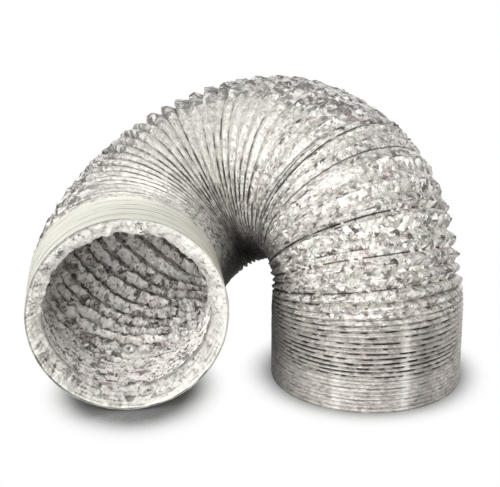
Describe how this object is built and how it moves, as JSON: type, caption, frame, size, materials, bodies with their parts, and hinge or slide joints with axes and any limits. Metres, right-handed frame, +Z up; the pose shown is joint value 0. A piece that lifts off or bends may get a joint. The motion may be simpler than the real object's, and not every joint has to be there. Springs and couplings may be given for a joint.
{
  "type": "flexible air duct",
  "caption": "Flexible foil air duct with a wire helix, gathered cuffs at both ends and an arched bend.",
  "frame": {"origin": "centre of the standing end, on the floor", "axes": "+Z up along the standing end, +X away from the mouth, -Y the way the mouth faces"},
  "size_m": [0.349, 0.2582, 0.2276],
  "materials": {
    "bright_foil": "crinkled foil",
    "spring_wire": "drawn wire",
    "dull_foil": "crinkled foil"
  },
  "bodies": {
    "standing_cuff": {"standing_cuff_outer_foil": "bright_foil", "standing_cuff_wire": "spring_wire", "standing_cuff_inner_foil": "dull_foil"},
    "standing_2": {"standing_2_outer_foil": "bright_foil", "standing_2_wire": "spring_wire", "standing_2_inner_foil": "dull_foil"},
    "standing_3": {"standing_3_outer_foil": "bright_foil", "standing_3_wire": "spring_wire", "standing_3_inner_foil": "dull_foil"},
    "bend_1": {"bend_1_outer_foil": "bright_foil", "bend_1_wire": "spring_wire", "bend_1_inner_foil": "dull_foil"},
    "bend_2": {"bend_2_outer_foil": "bright_foil", "bend_2_wire": "spring_wire", "bend_2_inner_foil": "dull_foil"},
    "bend_3": {"bend_3_outer_foil": "bright_foil", "bend_3_wire": "spring_wire", "bend_3_inner_foil": "dull_foil"},
    "bend_4": {"bend_4_outer_foil": "bright_foil", "bend_4_wire": "spring_wire", "bend_4_inner_foil": "dull_foil"},
    "bend_5": {"bend_5_outer_foil": "bright_foil", "bend_5_wire": "spring_wire", "bend_5_inner_foil": "dull_foil"},
    "bend_6": {"bend_6_outer_foil": "bright_foil", "bend_6_wire": "spring_wire", "bend_6_inner_foil": "dull_foil"},
    "bend_7": {"bend_7_outer_foil": "bright_foil", "bend_7_wire": "spring_wire", "bend_7_inner_foil": "dull_foil"},
    "bend_8": {"bend_8_outer_foil": "bright_foil", "bend_8_wire": "spring_wire", "bend_8_inner_foil": "dull_foil"},
    "bend_9": {"bend_9_outer_foil": "bright_foil", "bend_9_wire": "spring_wire", "bend_9_inner_foil": "dull_foil"},
    "bend_10": {"bend_10_outer_foil": "bright_foil", "bend_10_wire": "spring_wire", "bend_10_inner_foil": "dull_foil"},
    "bend_11": {"bend_11_outer_foil": "bright_foil", "bend_11_wire": "spring_wire", "bend_11_inner_foil": "dull_foil"},
    "bend_12": {"bend_12_outer_foil": "bright_foil", "bend_12_wire": "spring_wire", "bend_12_inner_foil": "dull_foil"},
    "mouth_3": {"mouth_3_outer_foil": "bright_foil", "mouth_3_wire": "spring_wire", "mouth_3_inner_foil": "dull_foil"},
    "mouth_2": {"mouth_2_outer_foil": "bright_foil", "mouth_2_wire": "spring_wire", "mouth_2_inner_foil": "dull_foil"},
    "mouth_cuff": {"mouth_cuff_outer_foil": "bright_foil", "mouth_cuff_wire": "spring_wire", "mouth_cuff_inner_foil": "dull_foil"}
  },
  "joints": [
    {"name": "standing_2_slide", "type": "slide", "parent": "standing_cuff", "child": "standing_2", "axis": [0, 0.0001, 1], "range_m": [0, 0.13]},
    {"name": "standing_3_slide", "type": "slide", "parent": "standing_2", "child": "standing_3", "axis": [-0.01, 0.036, 0.9993], "range_m": [0, 0.11]},
    {"name": "bend_1_bend", "type": "hinge", "parent": "standing_3", "child": "bend_1", "pos_m": [0.02752, -0.07134, 0.07645], "axis": [0.9337, 0.3579, -0.0075], "range_deg": [0, 8.7]},
    {"name": "bend_2_bend", "type": "hinge", "parent": "bend_1", "child": "bend_2", "pos_m": [0.03372, -0.05956, 0.11044], "axis": [0.8839, 0.4658, -0.0415], "range_deg": [0, 17.4]},
    {"name": "bend_3_bend", "type": "hinge", "parent": "bend_2", "child": "bend_3", "pos_m": [0.03656, -0.0167, 0.16584], "axis": [0.7448, 0.6421, -0.1816], "range_deg": [0, 22.7]},
    {"name": "bend_4_bend", "type": "hinge", "parent": "bend_3", "child": "bend_4", "pos_m": [0.02209, 0.04557, 0.20032], "axis": [0.5536, 0.7252, -0.4095], "range_deg": [0, 23]},
    {"name": "bend_5_bend", "type": "hinge", "parent": "bend_4", "child": "bend_5", "pos_m": [-0.0156, 0.10594, 0.21002], "axis": [0.411, 0.6729, -0.615], "range_deg": [0, 23.7]},
    {"name": "bend_6_bend", "type": "hinge", "parent": "bend_5", "child": "bend_6", "pos_m": [-0.07113, 0.14913, 0.19808], "axis": [0.3488, 0.5637, -0.7487], "range_deg": [0, 21.2]},
    {"name": "bend_7_bend", "type": "hinge", "parent": "bend_6", "child": "bend_7", "pos_m": [-0.11726, 0.16585, 0.17586], "axis": [0.3422, 0.4553, -0.822], "range_deg": [0, 18.3]},
    {"name": "bend_8_bend", "type": "hinge", "parent": "bend_7", "child": "bend_8", "pos_m": [-0.16235, 0.16591, 0.14689], "axis": [0.3661, 0.3554, -0.86], "range_deg": [0, 18.2]},
    {"name": "bend_9_bend", "type": "hinge", "parent": "bend_8", "child": "bend_9", "pos_m": [-0.2014, 0.14983, 0.1143], "axis": [0.4135, 0.2632, -0.8716], "range_deg": [0, 17.9]},
    {"name": "bend_10_bend", "type": "hinge", "parent": "bend_9", "child": "bend_10", "pos_m": [-0.23023, 0.11987, 0.08189], "axis": [0.4839, 0.1806, -0.8563], "range_deg": [0, 19.8]},
    {"name": "bend_11_bend", "type": "hinge", "parent": "bend_10", "child": "bend_11", "pos_m": [-0.25078, 0.06566, 0.04797], "axis": [0.5769, 0.1163, -0.8085], "range_deg": [0, 19.4]},
    {"name": "bend_12_bend", "type": "hinge", "parent": "bend_11", "child": "bend_12", "pos_m": [-0.25263, 0.00856, 0.0278], "axis": [0.6646, 0.0865, -0.7422], "range_deg": [0, 12.1]},
    {"name": "mouth_3_bend", "type": "hinge", "parent": "bend_12", "child": "mouth_3", "pos_m": [-0.24833, -0.02075, 0.02205], "axis": [0.7076, 0.083, -0.7018], "range_deg": [0, 5.3]},
    {"name": "mouth_2_slide", "type": "slide", "parent": "mouth_3", "child": "mouth_2", "axis": [0.1176, -0.9931, 0.0029], "range_m": [0, 0.11]},
    {"name": "mouth_cuff_slide", "type": "slide", "parent": "mouth_2", "child": "mouth_cuff", "axis": [0.1305, -0.9913, 0.0175], "range_m": [0, 0.105]}
  ],
  "couplings": [
    {"joint": "standing_3_slide", "follows": "standing_2_slide", "ratio": 0.8462},
    {"joint": "mouth_cuff_slide", "follows": "mouth_2_slide", "ratio": 0.9545}
  ]
}
